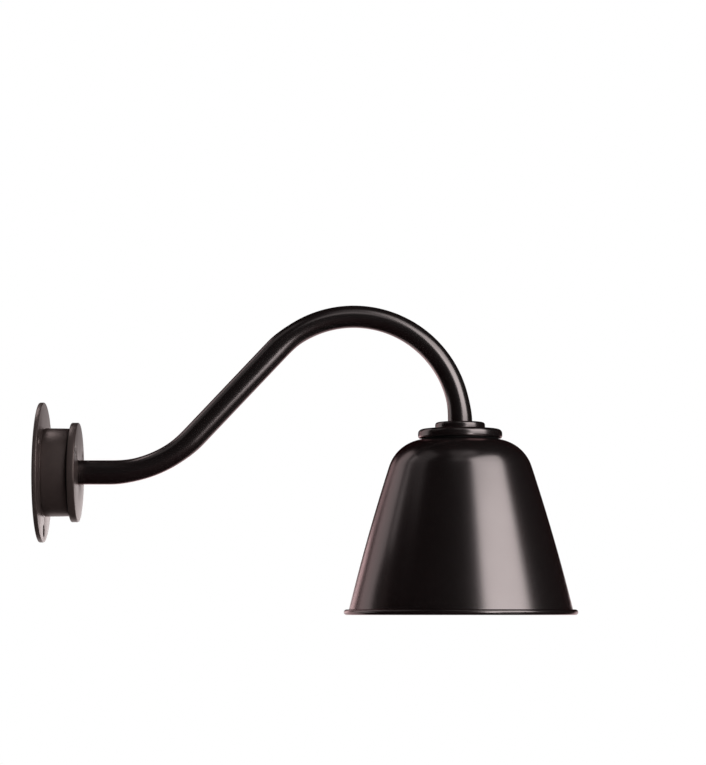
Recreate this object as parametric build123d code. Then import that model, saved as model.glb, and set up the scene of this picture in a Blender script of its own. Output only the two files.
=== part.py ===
from build123d import *
from math import acos, atan2, cos, hypot, pi, radians, sin
import os

# Gooseneck wall sconce, in millimetres.
# The origin is the centre of the wall plate's back face. +X leaves the wall, +Z is up,
# and the arm lies in the XZ plane. Angles about the arm's first run go from +Y towards +Z.

# Wall plate, a 6 in disc
plate_radius = 76.2
plate_thickness = 4.8
plate_edge_round = 0.8
bolt_circle_radius = 63.5
bolt_hole_radius = 6.35
bolt_angles = (-90, 30, 150)
supply_hole_radius = 11.1

# Junction box, a short drum with draft
box_base_radius = 48.2
box_front_radius = 47.85
box_depth = 28.2
box_wall = 3.6
box_floor = 3.2
box_screw_circle = 28.0
box_screw_angles = (-90, 30, 150)
boss_radius = 5.5
ground_boss_radius = 5.0
ground_boss_height = 2.0
ground_y = -20.0
ground_z = 25.0

# Cover with its gasket
gasket_thickness = 1.6
gasket_outer_radius = 47.3
gasket_inner_radius = 33.0
cover_radius = 54.2
cover_thickness = 8.0
cover_edge_round = 1.2
cover_screw_circle = 39.5
cover_screw_angles = (30, 150)
cover_screw_tip_x = 20.6

# Arm, 3/4 in pipe
pipe_radius = 13.335
pipe_wall = 2.87
arm_back_x = 26.0
first_run_end_x = 76.6
first_bend_radius = 125.8
rise_angle = 46.7
rising_run = 130.3
arch_radius = 116.1
arm_end_z = 26.0
locknut_thickness = 4.8
locknut_flats = 35.0
bushing_lip = 1.4
bushing_lip_radius = 12.8
bushing_depth = 8.0
bushing_bore_radius = 5.0

# Wiring
cable_radius = 3.2
cable_back_x = 21.0
cable_end_z = 20.8
core_radius = 1.2
core_offset = 1.4
tail_bend = 3.6
connector_x = 16.5
connector_y = 22.0
connector_length = 21.0
connector_mouth_radius = 5.4
connector_tip_radius = 3.4
connector_tip_round = 1.2
connector_mouth_z = -6.0
ground_connector_y = 3.0
ground_connector_z = 27.0
ground_run = 4.5
ring_thickness = 0.8
ring_radius = 4.2
barrel_radius = 1.9
barrel_length = 5.0
barrel_overlap = 0.6

# Parts on the arm's lower end, as heights above the arm's first run
running_clearance = 0.05
body_gap = 0.3
stem_nut_radius = 27.2
stem_nut_top_z = 54.7
stem_nut_round = 3.0
cap_radius = 45.9
cap_top_z = 47.0
cap_bottom_z = 36.9
cap_top_round = 4.5
cap_bottom_round = 2.5
hanger_nut_thickness = 4.8
hanger_nut_flats = 34.0
cap_gasket_thickness = 0.8
cap_gasket_outer_radius = 42.0
cap_gasket_inner_radius = 24.0
set_screw_z = 42.0
set_screw_radius = 2.5
set_screw_length = 11.0
set_screw_socket_radius = 1.4
set_screw_socket_depth = 2.5

# Shade, spun from sheet
sheet = 1.2
shade_hole_radius = 22.0
shade_flat_radius = 37.2
shoulder_radius = 42.4
side_bow_radius = 2310.0
rim_radius = 127.0
rim_bottom_z = -154.7
curl_radius = 3.0
curl_sweep = 300.0

# Socket housing and its screws
housing_flange_radius = 35.0
housing_flange = 4.0
housing_radius = 25.2
housing_wall = 3.2
housing_bottom_z = -24.0
housing_edge_round = 1.2
housing_screw_circle = 30.0
housing_screw_angles = (-90, 30, 150)
housing_screw_radius = 2.0
housing_screw_tip_z = 44.0
lug_inner = 15.5
lug_width = 9.0
lug_height = 6.0

# Bracket, lampholder and terminals
bracket_top_z = 10.5
bracket_thickness = 1.5
bracket_half_length = 21.0
bracket_width = 12.0
bracket_corner_round = 2.0
bracket_screw_x = 18.5
bracket_screw_radius = 1.6
holder_screw_x = 7.0
holder_screw_radius = 1.5
holder_screw_depth = 9.0
neck_radius = 13.5
neck_round = 1.0
holder_radius = 20.0
holder_round = 2.0
holder_shoulder_z = -4.0
holder_mouth_z = -38.0
holder_cavity_top_z = -8.0
holder_cavity_radius = 14.4
shell_inner_radius = 13.5
shell_top = 0.6
shell_mouth_z = -35.0
shell_hole_radius = 6.5
contact_radius = 4.0
contact_thickness = 1.9
contact_round = 0.8
terminal_x = 2.9
terminal_z = 2.4
terminal_screw_radius = 1.7
terminal_bore_y = 7.0
terminal_tip_y = 7.5
terminal_gap = 2 * core_radius
lead_inner_z = 15.6
lead_outer_z = 13.6
lead_end_z = -1.0
lead_bend = 3.2

# Screw base of the lampholder and bulb: 3.63 mm pitch, 26 mm across the bulb's thread
thread_pitch = 3.63
thread_round = 0.9
base_radius = 13.1
base_wall = 0.8
base_top_z = -14.5
base_bottom_z = -37.2
base_lip = 2.0
base_plain_foot = 3.7
tip_top_z = -10.2
tip_radius = 4.6
tip_height = 2.0
tip_round = 1.4
insulator_radius = 11.6

# Bulb, 60 mm across
bulb_radius = 30.0
bulb_bottom_z = -118.0
bulb_wall = 1.4
bulb_neck_radius = 13.6
bulb_neck_z = -40.0
bulb_neck_spread = 0.25
bulb_joint_z = -80.0
board_top_z = -76.0
board_radius = 24.0
board_thickness = 1.6
board_hole_x = 8.0
board_hole_radius = 2.0
chip_circle = 15.0
chip_count = 10
chip_size = 3.0
chip_height = 0.8
driver_size = (14.0, 9.0, 30.0)

# Screws: each pan head is its radius and height
screw_clearance = 0.25
tip_gap = 0.6
head_gap = 0.1
box_screw_shank = 2.5
box_screw_head = (4.6, 3.0)
cover_screw_shank = 2.5
cover_screw_head = 5.0
ground_screw_shank = 2.0
ground_screw_depth = 1.6
ground_screw_head = (3.3, 2.4)
housing_screw_head = (4.1, 2.8)
bracket_screw_head = (3.0, 2.0)
holder_screw_head = (2.8, 1.8)
terminal_screw_head = (3.2, 2.0)

base_aligned = (Align.CENTER, Align.CENTER, Align.MIN)

box_back_x = plate_thickness
box_floor_x = box_back_x + box_floor
box_front_x = box_back_x + box_depth
box_inner_radius = box_base_radius - box_wall
cover_back_x = box_front_x + gasket_thickness
cover_front_x = cover_back_x + cover_thickness
pipe_bore_radius = pipe_radius - pipe_wall

ring_back_x = box_floor_x + ground_boss_height
ring_front_x = ring_back_x + ring_thickness
barrel_start_y = ground_y + ring_radius - barrel_overlap

rise = radians(rise_angle)
arch_start_x = first_run_end_x + first_bend_radius * sin(rise) + rising_run * cos(rise)
arch_start_z = first_bend_radius * (1 - cos(rise)) + rising_run * sin(rise)
head_x = arch_start_x + arch_radius * sin(rise) + arch_radius

shade_top_z = cap_bottom_z - cap_gasket_thickness
shade_under_z = shade_top_z - sheet
flange_under_z = shade_under_z - housing_flange
housing_bore_radius = housing_radius - housing_wall
bracket_under_z = bracket_top_z - bracket_thickness


# ---- shared shapes ----


def along_x(radius, start, end, y=0.0, z=0.0):
    return Plane.YZ.offset(start) * Pos(y, z) * Cylinder(radius, end - start, align=base_aligned)


def along_z(radius, low, high, x=0.0, y=0.0):
    return Pos(head_x + x, y, low) * Cylinder(radius, high - low, align=base_aligned)


def on_circle(radius, angle):
    return radius * cos(radians(angle)), radius * sin(radians(angle))


def turned(outline):
    # Turns a closed outline of (radius, height) edges about the head's vertical axis.
    face = make_face(outline)
    return Pos(head_x, 0, 0) * revolve(Plane.XZ * face, Axis.Z)


def turned_points(points):
    return turned(Polyline(*points, close=True))


def cross_recess(width, depth):
    slot = Box(2 * width, 0.35 * width, depth, align=(Align.CENTER, Align.CENTER, Align.MAX))
    return slot + Rot(0, 0, 90) * slot


def pan_screw(shank_radius, shank_length, head_radius, head_height):
    # The head stands on Z = 0 and the shank goes down.
    head = Cylinder(head_radius, head_height, align=base_aligned)
    head = fillet(head.edges().group_by(Axis.Z)[-1], 0.4 * head_height)
    shank = Pos(0, 0, -shank_length) * Cylinder(shank_radius, shank_length, align=base_aligned)
    return head + shank - Pos(0, 0, head_height) * cross_recess(0.55 * head_radius, 0.5 * head_height)


def flat_screw(shank_radius, length, head_radius):
    # The countersunk head's face is at Z = 0 and the shank goes down.
    cone_height = head_radius - shank_radius
    head = Pos(0, 0, -cone_height) * Cone(shank_radius, head_radius, cone_height, align=base_aligned)
    shank = Pos(0, 0, -length) * Cylinder(shank_radius, length - cone_height, align=base_aligned)
    recess = Pos(0, 0, -0.8 * cone_height) * extrude(RegularPolygon(0.8 * shank_radius, 6), cone_height)
    return head + shank - recess


def wire(points, bends, radius):
    route = FilletPolyline(*points, radius=bends)
    return sweep(Plane(route @ 0, z_dir=route % 0) * Circle(radius), route)


def save(name, *solids):
    shape = solids[0] if len(solids) == 1 else Compound(list(solids))
    export_step(shape, f"parts/{name}.step")


# ---- wall mount ----


def wall_plate():
    plate = along_x(plate_radius, 0, plate_thickness)
    plate = fillet(plate.edges().filter_by(GeomType.CIRCLE), plate_edge_round)
    plate -= along_x(supply_hole_radius, 0, plate_thickness)
    for angle in bolt_angles:
        plate -= along_x(bolt_hole_radius, 0, plate_thickness, *on_circle(bolt_circle_radius, angle))
    for angle in box_screw_angles:
        plate -= along_x(box_screw_shank, 0, plate_thickness, *on_circle(box_screw_circle, angle))
    return plate


def junction_box():
    drum = Cone(box_base_radius, box_front_radius, box_depth, align=base_aligned)
    box = Plane.YZ.offset(box_back_x) * drum
    box -= along_x(box_inner_radius, box_floor_x, box_front_x)
    for angle in cover_screw_angles:
        place = on_circle(cover_screw_circle, angle)
        box += along_x(boss_radius, box_floor_x, box_front_x, *place)
        box -= along_x(cover_screw_shank, cover_screw_tip_x - tip_gap, box_front_x, *place)
    for angle in box_screw_angles:
        place = on_circle(box_screw_circle, angle)
        box -= along_x(box_screw_shank + screw_clearance, box_back_x, box_floor_x, *place)
    box += along_x(ground_boss_radius, box_floor_x, ring_back_x, ground_y, ground_z)
    ground_hole_x = box_floor_x - ground_screw_depth - tip_gap
    box -= along_x(ground_screw_shank, ground_hole_x, ring_back_x, ground_y, ground_z)
    return box - along_x(supply_hole_radius, box_back_x, box_floor_x)


def box_screws():
    screw = pan_screw(box_screw_shank, box_floor + plate_thickness - tip_gap, *box_screw_head)
    places = [on_circle(box_screw_circle, angle) for angle in box_screw_angles]
    return [Plane((box_floor_x, y, z), z_dir=(1, 0, 0)) * screw for y, z in places]


def cover_gasket():
    gasket = along_x(gasket_outer_radius, box_front_x, cover_back_x)
    gasket -= along_x(gasket_inner_radius, box_front_x, cover_back_x)
    for angle in cover_screw_angles:
        place = on_circle(cover_screw_circle, angle)
        gasket -= along_x(cover_screw_shank + screw_clearance, box_front_x, cover_back_x, *place)
    return gasket


def cover_plate():
    cover = along_x(cover_radius, cover_back_x, cover_front_x)
    cover = fillet(cover.edges().filter_by(GeomType.CIRCLE), cover_edge_round)
    cover -= along_x(pipe_radius, cover_back_x, cover_front_x)
    for angle in cover_screw_angles:
        y, z = on_circle(cover_screw_circle, angle)
        cover -= along_x(cover_screw_shank + screw_clearance, cover_back_x, cover_front_x, y, z)
        sink_depth = cover_screw_head - cover_screw_shank
        sink = Cone(cover_screw_shank, cover_screw_head, sink_depth, align=base_aligned)
        cover -= Plane((cover_front_x - sink_depth, y, z), z_dir=(1, 0, 0)) * sink
    return cover


def cover_screws():
    screw = flat_screw(cover_screw_shank, cover_front_x - cover_screw_tip_x, cover_screw_head)
    places = [on_circle(cover_screw_circle, angle) for angle in cover_screw_angles]
    return [Plane((cover_front_x, y, z), z_dir=(1, 0, 0)) * screw for y, z in places]


# ---- arm ----


def arm_route(back_x, end_z):
    level = Line((back_x, 0), (first_run_end_x, 0))
    lift = JernArc(level @ 1, level % 1, first_bend_radius, rise_angle)
    climb = Line(lift @ 1, lift @ 1 + rising_run * (lift % 1))
    arch = JernArc(climb @ 1, climb % 1, arch_radius, -(rise_angle + 90))
    drop = Line(arch @ 1, (head_x, end_z))
    return Plane.XZ * Wire([level, lift, climb, arch, drop])


def along_arm(radius, back_x, end_z):
    route = arm_route(back_x, end_z)
    return sweep(Plane(route @ 0, z_dir=route % 0) * Circle(radius), route)


def arm_tube():
    return along_arm(pipe_radius, arm_back_x, arm_end_z) - along_arm(pipe_bore_radius, arm_back_x, arm_end_z)


def nut(flats, sides, thickness):
    blank = extrude(RegularPolygon(flats / 2, sides, major_radius=False), thickness)
    return blank - Cylinder(pipe_radius, 2 * thickness)


def arm_locknut():
    return Plane.YZ.offset(cover_back_x - locknut_thickness) * nut(locknut_flats, 8, locknut_thickness)


def bushing():
    # The lip lies on the pipe's end at Z = 0 and the liner goes down into the pipe.
    liner = Pos(0, 0, -bushing_depth) * Cylinder(pipe_bore_radius, bushing_depth, align=base_aligned)
    lip = Cylinder(bushing_lip_radius, bushing_lip, align=base_aligned)
    lip = fillet(lip.edges().group_by(Axis.Z)[-1], 0.4 * bushing_lip)
    return liner + lip - Cylinder(bushing_bore_radius, 3 * bushing_depth)


def arm_bushing():
    return Plane((arm_back_x, 0, 0), z_dir=(-1, 0, 0)) * bushing()


def stem_bushing():
    return Plane((head_x, 0, arm_end_z), z_dir=(0, 0, -1)) * bushing()


def stem_nut():
    disc = along_z(stem_nut_radius, cap_top_z + body_gap, stem_nut_top_z)
    disc = fillet(disc.edges().group_by(Axis.Z)[-1], stem_nut_round)
    return disc - along_z(pipe_radius, cap_top_z, stem_nut_top_z)


def hanger_nut():
    bottom_z = cap_bottom_z - body_gap - hanger_nut_thickness
    return Pos(head_x, 0, bottom_z) * nut(hanger_nut_flats, 6, hanger_nut_thickness)


# ---- wiring in the junction box ----


def arm_cable():
    return along_arm(cable_radius, cable_back_x, cable_end_z)


def box_tail(side):
    # side is -1 for the live core and 1 for the neutral core
    start_y = side * core_offset
    end_y = side * connector_y
    points = [
        (cable_back_x, start_y, 0),
        (connector_x, start_y, 0),
        (connector_x, end_y, 0),
        (connector_x, end_y, connector_mouth_z),
    ]
    return wire(points, tail_bend, core_radius)


def connector():
    # The mouth is at Z = 0 and the tip points up.
    cone = Cone(connector_mouth_radius, connector_tip_radius, connector_length, align=base_aligned)
    return fillet(cone.edges().group_by(Axis.Z)[-1], connector_tip_round)


def wire_connectors():
    cap = connector()
    live = Plane((connector_x, -connector_y, connector_mouth_z), z_dir=(0, 0, -1)) * cap
    neutral = Plane((connector_x, connector_y, connector_mouth_z), z_dir=(0, 0, -1)) * cap
    ground = Plane((connector_x, ground_connector_y, ground_connector_z), z_dir=(0, 1, 0)) * cap
    return [live, neutral, ground]


def ground_terminal():
    ring = along_x(ring_radius, ring_back_x, ring_front_x, ground_y, ground_z)
    barrel = Cylinder(barrel_radius, barrel_length, align=base_aligned)
    barrel = Plane((ring_back_x + barrel_radius, barrel_start_y, ground_z), z_dir=(0, 1, 0)) * barrel
    hole = along_x(ground_screw_shank + screw_clearance, ring_back_x, ring_front_x, ground_y, ground_z)
    room_radius = ground_screw_head[0] + head_gap
    head_room = along_x(room_radius, ring_front_x, ring_front_x + 2 * barrel_radius, ground_y, ground_z)
    return ring + barrel - hole - head_room


def ground_wire():
    start_x = ring_back_x + barrel_radius
    start_y = barrel_start_y + barrel_length
    points = [
        (start_x, start_y, ground_z),
        (start_x, start_y + ground_run, ground_z),
        (connector_x, ground_connector_y - ground_run, ground_connector_z),
        (connector_x, ground_connector_y, ground_connector_z),
    ]
    return wire(points, tail_bend, core_radius)


def ground_screw():
    shank_length = ring_front_x - box_floor_x + ground_screw_depth
    screw = pan_screw(ground_screw_shank, shank_length, *ground_screw_head)
    return Plane((ring_front_x, ground_y, ground_z), z_dir=(1, 0, 0)) * screw


# ---- head ----


def shade_cap():
    cap = along_z(cap_radius, cap_bottom_z, cap_top_z)
    rims = cap.edges().filter_by(GeomType.CIRCLE).sort_by(Axis.Z)
    cap = fillet(rims[-1], cap_top_round)
    cap = fillet(cap.edges().group_by(Axis.Z)[0], cap_bottom_round)
    cap -= along_z(pipe_radius + running_clearance, cap_bottom_z, cap_top_z)
    for angle in housing_screw_angles:
        place = on_circle(housing_screw_circle, angle)
        cap -= along_z(housing_screw_radius, cap_bottom_z, housing_screw_tip_z + tip_gap, *place)
    set_hole = Plane((head_x, 0, set_screw_z), z_dir=(0, 1, 0))
    cap -= set_hole * Cylinder(set_screw_radius, cap_radius, align=base_aligned)
    return cap


def set_screw():
    start_y = pipe_radius + body_gap
    body = Cylinder(set_screw_radius, set_screw_length, align=base_aligned)
    socket = extrude(RegularPolygon(set_screw_socket_radius, 6), set_screw_socket_depth)
    socket = Pos(0, 0, set_screw_length - set_screw_socket_depth) * socket
    return Plane((head_x, start_y, set_screw_z), z_dir=(0, 1, 0)) * (body - socket)


def cap_gasket():
    gasket = along_z(cap_gasket_outer_radius, shade_top_z, cap_bottom_z)
    gasket -= along_z(cap_gasket_inner_radius, shade_top_z, cap_bottom_z)
    for angle in housing_screw_angles:
        place = on_circle(housing_screw_circle, angle)
        gasket -= along_z(housing_screw_radius + screw_clearance, shade_top_z, cap_bottom_z, *place)
    return gasket


def polar(centre, radius, angle):
    return centre[0] + radius * cos(angle), centre[1] + radius * sin(angle)


def arc(centre, radius, start, end):
    middle = (start + end) / 2
    return ThreePointArc(polar(centre, radius, start), polar(centre, radius, middle), polar(centre, radius, end))


def shade():
    # The outline is the shoulder's arc, the bowed side, tangent to it, and the rim's curl.
    shoulder = (shade_flat_radius, shade_top_z - shoulder_radius)
    curl = (rim_radius - curl_radius, rim_bottom_z + curl_radius)
    curl_inner = curl_radius - sheet
    # The bow's centre is known from its distances to the shoulder's centre and to the curl's centre.
    to_shoulder = side_bow_radius - shoulder_radius
    to_curl = side_bow_radius + curl_inner
    apart = hypot(curl[0] - shoulder[0], curl[1] - shoulder[1])
    corner = acos((to_shoulder**2 + apart**2 - to_curl**2) / (2 * to_shoulder * apart))
    heading = atan2(curl[1] - shoulder[1], curl[0] - shoulder[0]) - corner
    bow = polar(shoulder, to_shoulder, heading)
    top_angle = heading + pi
    bottom_angle = atan2(curl[1] - bow[1], curl[0] - bow[0])
    wall = [
        Line((shade_hole_radius, shade_top_z), (shade_flat_radius, shade_top_z)),
        arc(shoulder, shoulder_radius, pi / 2, top_angle),
        arc(bow, side_bow_radius, top_angle, bottom_angle),
        Line(polar(bow, side_bow_radius, bottom_angle), polar(bow, side_bow_radius - sheet, bottom_angle)),
        arc(bow, side_bow_radius - sheet, bottom_angle, top_angle),
        arc(shoulder, shoulder_radius - sheet, top_angle, pi / 2),
        Line((shade_flat_radius, shade_under_z), (shade_hole_radius, shade_under_z)),
        Line((shade_hole_radius, shade_under_z), (shade_hole_radius, shade_top_z)),
    ]
    curl_start = bottom_angle + pi
    curl_end = curl_start + radians(curl_sweep)
    rim = [
        arc(curl, curl_radius, curl_start, curl_end),
        Line(polar(curl, curl_radius, curl_end), polar(curl, curl_inner, curl_end)),
        arc(curl, curl_inner, curl_end, curl_start),
        Line(polar(curl, curl_inner, curl_start), polar(curl, curl_radius, curl_start)),
    ]
    bell = turned(wall) + turned(rim)
    for angle in housing_screw_angles:
        place = on_circle(housing_screw_circle, angle)
        bell -= along_z(housing_screw_radius + screw_clearance, shade_under_z, shade_top_z, *place)
    return bell


def socket_housing():
    housing = along_z(housing_flange_radius, flange_under_z, shade_under_z)
    housing += along_z(housing_radius, housing_bottom_z, shade_under_z)
    housing = fillet(housing.edges().group_by(Axis.Z)[0], housing_edge_round)
    housing -= along_z(housing_bore_radius, housing_bottom_z, shade_under_z)
    for side in (-1, 1):
        lug_length = housing_bore_radius + 0.5 * housing_wall - lug_inner
        lug = Box(lug_length, lug_width, lug_height, align=(Align.MIN, Align.CENTER, Align.MIN))
        turn = Rot(0, 0, 0 if side > 0 else 180)
        housing += Pos(head_x, 0, bracket_top_z) * turn * Pos(lug_inner, 0, 0) * lug
        screw_x = side * bracket_screw_x
        housing -= along_z(bracket_screw_radius, bracket_top_z, bracket_top_z + lug_height, screw_x)
    for angle in housing_screw_angles:
        place = on_circle(housing_screw_circle, angle)
        housing -= along_z(housing_screw_radius + screw_clearance, flange_under_z, shade_under_z, *place)
    return housing


def housing_screws():
    screw = pan_screw(housing_screw_radius, housing_screw_tip_z - flange_under_z, *housing_screw_head)
    places = [on_circle(housing_screw_circle, angle) for angle in housing_screw_angles]
    return [Plane((head_x + x, y, flange_under_z), z_dir=(0, 0, -1)) * screw for x, y in places]


def socket_bracket():
    strap = Box(2 * bracket_half_length, bracket_width, bracket_thickness, align=base_aligned)
    strap = fillet(strap.edges().filter_by(Axis.Z), bracket_corner_round)
    strap = Pos(head_x, 0, bracket_under_z) * strap
    for radius, screw_x in ((bracket_screw_radius, bracket_screw_x), (holder_screw_radius, holder_screw_x)):
        for side in (-1, 1):
            strap -= along_z(radius + screw_clearance, bracket_under_z, bracket_top_z, side * screw_x)
    return strap


def bracket_screws():
    screw = pan_screw(bracket_screw_radius, bracket_thickness + lug_height - tip_gap, *bracket_screw_head)
    places = [head_x + side * bracket_screw_x for side in (-1, 1)]
    return [Plane((x, 0, bracket_under_z), z_dir=(0, 0, -1)) * screw for x in places]


def lampholder_body():
    neck = along_z(neck_radius, holder_shoulder_z, bracket_under_z)
    neck = fillet(neck.edges().group_by(Axis.Z)[-1], neck_round)
    drum = along_z(holder_radius, holder_mouth_z, holder_shoulder_z)
    drum = fillet(drum.edges().filter_by(GeomType.CIRCLE), holder_round)
    holder = neck + drum - along_z(holder_cavity_radius, holder_mouth_z, holder_cavity_top_z)
    screw_hole_z = bracket_under_z - holder_screw_depth - tip_gap
    bore = Cylinder(terminal_screw_radius, neck_radius, align=base_aligned)
    for side in (-1, 1):
        holder -= along_z(holder_screw_radius, screw_hole_z, bracket_under_z, side * holder_screw_x)
        bore_start = (head_x + terminal_x, side * terminal_bore_y, terminal_z)
        holder -= Plane(bore_start, z_dir=(0, side, 0)) * bore
    return holder


def lampholder_screws():
    screw = pan_screw(holder_screw_radius, bracket_thickness + holder_screw_depth, *holder_screw_head)
    places = [head_x + side * holder_screw_x for side in (-1, 1)]
    return [Plane((x, 0, bracket_top_z), z_dir=(0, 0, 1)) * screw for x in places]


def thread_rings(radius, low, high):
    # Rings that stand for the thread's crests: each is a round bar bent into a hoop of this outer radius.
    count = int((high - low - 2 * thread_round) / thread_pitch) + 1
    heights = [low + thread_round + thread_pitch * step for step in range(count)]
    return [Pos(head_x, 0, z) * Torus(radius - thread_round, thread_round) for z in heights]


def screw_shell():
    top_z = holder_cavity_top_z - shell_top
    shell = along_z(holder_cavity_radius, shell_mouth_z, holder_cavity_top_z)
    shell -= along_z(shell_inner_radius, shell_mouth_z, top_z)
    return shell - along_z(shell_hole_radius, top_z, holder_cavity_top_z)


def centre_contact():
    contact = along_z(contact_radius, holder_cavity_top_z - contact_thickness, holder_cavity_top_z)
    return fillet(contact.edges().group_by(Axis.Z)[0], contact_round)


def terminal_screws():
    # Each head clamps a bare core against the porcelain neck.
    head_y = neck_radius + terminal_gap
    screw = pan_screw(terminal_screw_radius, head_y - terminal_tip_y, *terminal_screw_head)
    x = head_x + terminal_x
    return [Plane((x, side * head_y, terminal_z), z_dir=(0, side, 0)) * screw for side in (-1, 1)]


def socket_lead(side):
    start_y = side * core_offset
    end_y = side * (neck_radius + core_radius)
    points = [
        (head_x, start_y, cable_end_z - body_gap),
        (head_x, start_y, lead_inner_z),
        (head_x, end_y, lead_outer_z),
        (head_x, end_y, lead_end_z),
    ]
    return wire(points, lead_bend, core_radius)


# ---- bulb ----


def bulb_base():
    base = along_z(base_radius - thread_round / 2, base_bottom_z, base_top_z)
    for hoop in thread_rings(base_radius, base_bottom_z + base_plain_foot, base_top_z - base_wall):
        base += hoop
    bore = base_radius - thread_round / 2 - base_wall
    base -= along_z(bore, base_bottom_z, base_top_z - base_wall)
    return base - along_z(bore - base_lip, base_top_z - base_wall, base_top_z)


def bulb_insulator():
    tip_bottom_z = tip_top_z - tip_height
    outline = [
        (0, base_top_z),
        (insulator_radius, base_top_z),
        (tip_radius, tip_bottom_z),
        (0, tip_bottom_z),
    ]
    return turned_points(outline)


def bulb_tip():
    tip = along_z(tip_radius, tip_top_z - tip_height, tip_top_z)
    return fillet(tip.edges().group_by(Axis.Z)[-1], tip_round)


def flare(offset, low_z, top_z):
    # The bulb's swelling side, offset inwards, from its neck down to its widest place.
    neck = (bulb_neck_radius - offset, bulb_neck_z)
    wide = (bulb_radius - offset, low_z)
    return [
        Line((neck[0], top_z), neck),
        Spline(neck, wide, tangents=[(bulb_neck_spread, -1), (0, -1)]),
    ]


def bulb_body():
    outer = flare(0, bulb_joint_z, base_bottom_z)
    inner = flare(bulb_wall, bulb_joint_z, base_bottom_z)
    ends = [
        Line(outer[1] @ 1, inner[1] @ 1),
        Line(inner[0] @ 0, outer[0] @ 0),
    ]
    return turned(outer + inner + ends)


def bulb_dome():
    # A short straight skirt below the joint, then half a ball.
    ball = (0, bulb_bottom_z + bulb_radius)
    inner_radius = bulb_radius - bulb_wall
    outline = [
        Line((bulb_radius, bulb_joint_z), (bulb_radius, ball[1])),
        arc(ball, bulb_radius, 0, -pi / 2),
        Line((0, bulb_bottom_z), (0, bulb_bottom_z + bulb_wall)),
        arc(ball, inner_radius, -pi / 2, 0),
        Line((inner_radius, ball[1]), (inner_radius, bulb_joint_z)),
        Line((inner_radius, bulb_joint_z), (bulb_radius, bulb_joint_z)),
    ]
    return turned(outline)


def led_board():
    under_z = board_top_z - board_thickness
    board = along_z(board_radius, under_z, board_top_z)
    return board - along_z(board_hole_radius, under_z, board_top_z, board_hole_x)


def led_chips():
    top_z = board_top_z - board_thickness
    chip = Box(chip_size, chip_size, chip_height, align=(Align.CENTER, Align.CENTER, Align.MAX))
    turns = [360 * step / chip_count for step in range(chip_count)]
    return [Pos(head_x, 0, top_z) * Rot(0, 0, turn) * Pos(chip_circle, 0, 0) * chip for turn in turns]


def led_driver():
    return Pos(head_x, 0, board_top_z) * Box(*driver_size, align=base_aligned)


os.makedirs("parts", exist_ok=True)

save("wall_plate", wall_plate())
save("junction_box", junction_box())
save("box_screws", *box_screws())
save("cover_gasket", cover_gasket())
save("cover_plate", cover_plate())
save("cover_screws", *cover_screws())
save("arm_tube", arm_tube())
save("arm_locknut", arm_locknut())
save("arm_bushing", arm_bushing())
save("stem_bushing", stem_bushing())
save("stem_nut", stem_nut())
save("hanger_nut", hanger_nut())
save("arm_cable", arm_cable())
save("live_tail", box_tail(-1))
save("neutral_tail", box_tail(1))
save("wire_connectors", *wire_connectors())
save("ground_terminal", ground_terminal())
save("ground_wire", ground_wire())
save("ground_screw", ground_screw())
save("shade_cap", shade_cap())
save("set_screw", set_screw())
save("cap_gasket", cap_gasket())
save("shade", shade())
save("socket_housing", socket_housing())
save("housing_screws", *housing_screws())
save("socket_bracket", socket_bracket())
save("bracket_screws", *bracket_screws())
save("lampholder_body", lampholder_body())
save("lampholder_screws", *lampholder_screws())
save("screw_shell", screw_shell())
save("centre_contact", centre_contact())
save("terminal_screws", *terminal_screws())
save("live_lead", socket_lead(-1))
save("neutral_lead", socket_lead(1))
save("bulb_base", bulb_base())
save("bulb_insulator", bulb_insulator())
save("bulb_tip", bulb_tip())
save("bulb_body", bulb_body())
save("bulb_dome", bulb_dome())
save("led_board", led_board())
save("led_chips", *led_chips())
save("led_driver", led_driver())
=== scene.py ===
import math

import bmesh
import bpy
from mathutils import Matrix, Vector
from mathutils.geometry import interpolate_bezier


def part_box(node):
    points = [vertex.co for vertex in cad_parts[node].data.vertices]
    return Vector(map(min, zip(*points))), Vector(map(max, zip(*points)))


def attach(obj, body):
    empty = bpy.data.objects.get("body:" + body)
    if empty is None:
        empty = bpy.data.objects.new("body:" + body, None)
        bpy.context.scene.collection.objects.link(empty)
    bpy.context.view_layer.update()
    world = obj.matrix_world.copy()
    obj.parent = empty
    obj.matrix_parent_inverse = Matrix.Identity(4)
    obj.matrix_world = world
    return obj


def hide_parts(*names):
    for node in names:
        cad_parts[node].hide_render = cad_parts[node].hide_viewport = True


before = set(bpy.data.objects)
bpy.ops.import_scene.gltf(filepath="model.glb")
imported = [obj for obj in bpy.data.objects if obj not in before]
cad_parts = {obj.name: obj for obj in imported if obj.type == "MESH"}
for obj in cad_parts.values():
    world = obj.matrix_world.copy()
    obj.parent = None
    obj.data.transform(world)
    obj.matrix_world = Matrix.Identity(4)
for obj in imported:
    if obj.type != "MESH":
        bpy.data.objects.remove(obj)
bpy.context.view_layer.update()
print("frame loaded:", len(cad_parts), "nodes")

# Gooseneck wall sconce. Outlines are drawn in millimetres, and each mesh is brought
# to metres as it is finished.
millimetre = 0.001
fullTurn = 2 * math.pi
samePoint = 1e-5  # points nearer than this are one
rootBody, headBody, bulbBody = "wall_mount", "head", "bulb"


def nodeBox(node):
    low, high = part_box(node)
    return low / millimetre, high / millimetre


capLow, capHigh = nodeBox("shade_cap")
headX = (capLow.x + capHigh.x) / 2  # the axis that the shade, socket and bulb share
towardsRoom = Matrix.Rotation(math.pi / 2, 4, "Y")  # takes an upright outline's axis to +X
onHeadAxis = Matrix.Translation((headX, 0, 0))


# pens that draw a turned piece's outline: x is the distance from the axis and z the height
def penStart(bm, radius, height):
    return bm.verts.new((radius, 0, height))


def penLine(bm, vert, radius, height):
    end = bm.verts.new((radius, 0, height))
    bm.edges.new((vert, end))
    return end


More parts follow.
